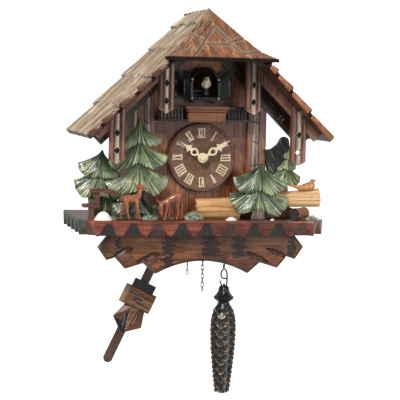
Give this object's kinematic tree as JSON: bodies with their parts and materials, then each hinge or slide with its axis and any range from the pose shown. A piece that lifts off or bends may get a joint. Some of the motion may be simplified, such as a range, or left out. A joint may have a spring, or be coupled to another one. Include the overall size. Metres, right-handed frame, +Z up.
{
  "type": "cuckoo clock",
  "caption": "Wall-hung chalet cuckoo clock: half-hipped roof, carved forest scene, dial, opening doors, swinging pendulum and hanging cone weight.",
  "frame": {"origin": "centre of the hanging hole in the back panel, on the wall plane", "axes": "+Y points into the wall, so the dial faces -Y; +Z is up; +X is to the right of a person looking at the dial"},
  "size_m": [0.238, 0.1556, 0.3666],
  "materials": {
    "house_wood": "satin stained spruce",
    "shelf_wood": "gloss lacquer",
    "skirt_wood": "satin stain with burnt accents",
    "roof_wood": "gloss lacquer on carved strips",
    "hip_wood": "satin stain",
    "dark_wood": "dark satin stain",
    "post_wood": "satin stain",
    "dial_wood": "satin stain, turned",
    "ivory_plastic": "moulded ivory",
    "brass": "polished",
    "black_plastic": "moulded gloss",
    "bird_plastic": "painted cream",
    "sill_wood": "satin stain",
    "rail_wood": "black-brown stain",
    "tree_paint": "hand-painted glaze",
    "deer_paint": "hand-painted",
    "bench_wood": "satin stain",
    "pale_wood": "clear satin",
    "bark": "natural bark",
    "moss": "dried moss",
    "pebble": "tumbled stone",
    "pendulum_wood": "satin stain with burnt edges",
    "steel": "bare wire",
    "iron": "black enamel",
    "bronze": "dark patina with copper edges",
    "white_plastic": "moulded",
    "cell_label": "plain printed sleeve",
    "board_green": "solder mask",
    "coil_copper": "enamelled wire",
    "speaker_black": "satin"
  },
  "bodies": {
    "house": {"back_panel": "house_wood", "side_walls": "house_wood", "front_wall": "house_wood", "shelf": "shelf_wood", "skirt_board": "skirt_wood", "roof_left": "roof_wood", "roof_right": "roof_wood", "hip_board": "hip_wood", "gable_braces": "dark_wood", "rafters": "dark_wood", "outer_posts": "post_wood", "inner_posts": "post_wood", "corner_posts": "post_wood", "dial": "dial_wood", "numerals": "ivory_plastic", "dial_nut": "brass", "door_frame": "black_plastic", "cuckoo_rail": "black_plastic", "sill_box": "sill_wood", "railings": "rail_wood", "tree_left_front": "tree_paint", "tree_left_rear": "tree_paint", "tree_right_front": "tree_paint", "tree_right_rear": "tree_paint", "deer_standing": "deer_paint", "deer_grazing": "deer_paint", "bench": "bench_wood", "split_log_left": "pale_wood", "split_log_right": "pale_wood", "round_log": "bark", "songbird": "pale_wood", "moss_tufts": "moss", "pebbles": "pebble", "pendulum_hanger": "steel", "chains": "steel", "movement_case": "black_plastic", "movement_cover": "black_plastic", "batteries": "cell_label", "battery_contacts": "steel", "circuit_board": "board_green", "motor_coil": "coil_copper", "speaker": "speaker_black", "case_screws": "steel"},
    "minute_train": {"minute_arbor": "steel", "minute_hand": "ivory_plastic", "hand_nut": "brass"},
    "hour_train": {"hour_wheel": "white_plastic", "hour_hand": "ivory_plastic"},
    "setting_train": {"setting_wheel": "white_plastic"},
    "pendulum": {"pendulum_rod": "pendulum_wood", "pendulum_ornament": "pendulum_wood"},
    "weight": {"weight_hook": "iron", "weight_cone": "bronze"},
    "bird": {"cuckoo": "bird_plastic", "cuckoo_carriage": "black_plastic"},
    "left_door": {"door_left": "black_plastic"},
    "right_door": {"door_right": "black_plastic"},
    "switch": {"night_switch": "white_plastic"}
  },
  "joints": [
    {"name": "minute_spin", "type": "hinge", "parent": "house", "child": "minute_train", "pos_m": [0, -0.09, -0.096], "axis": [0, 1, 0], "continuous": true},
    {"name": "hour_spin", "type": "hinge", "parent": "house", "child": "hour_train", "pos_m": [0, -0.09, -0.096], "axis": [0, 1, 0], "continuous": true},
    {"name": "setting_spin", "type": "hinge", "parent": "house", "child": "setting_train", "pos_m": [0.015, -0.06, -0.096], "axis": [0, 1, 0], "continuous": true},
    {"name": "pendulum_swing", "type": "hinge", "parent": "house", "child": "pendulum", "pos_m": [0, -0.05, -0.1244], "axis": [0, -1, 0], "range_deg": [0, 50.6]},
    {"name": "weight_swing", "type": "hinge", "parent": "house", "child": "weight", "pos_m": [0.0285, -0.074, -0.1996], "axis": [0, -1, 0], "range_deg": [-15, 15]},
    {"name": "cuckoo_slide", "type": "slide", "parent": "house", "child": "bird", "axis": [0, 1, 0], "range_m": [0, 0.024]},
    {"name": "left_door_hinge", "type": "hinge", "parent": "house", "child": "left_door", "pos_m": [-0.0126, -0.0984, -0.031], "axis": [0, 0, 1], "range_deg": [0, 145]},
    {"name": "right_door_hinge", "type": "hinge", "parent": "house", "child": "right_door", "pos_m": [0.0126, -0.0984, -0.031], "axis": [0, 0, -1], "range_deg": [0, 145]},
    {"name": "night_switch_slide", "type": "slide", "parent": "house", "child": "switch", "axis": [1, 0, 0], "range_m": [0, 0.005]}
  ],
  "couplings": [
    {"joint": "hour_spin", "follows": "minute_spin", "ratio": 0.083333},
    {"joint": "setting_spin", "follows": "minute_spin", "ratio": -0.33333},
    {"joint": "left_door_hinge", "follows": "cuckoo_slide", "rad_per_m": 105.45},
    {"joint": "right_door_hinge", "follows": "cuckoo_slide", "rad_per_m": 105.45}
  ]
}
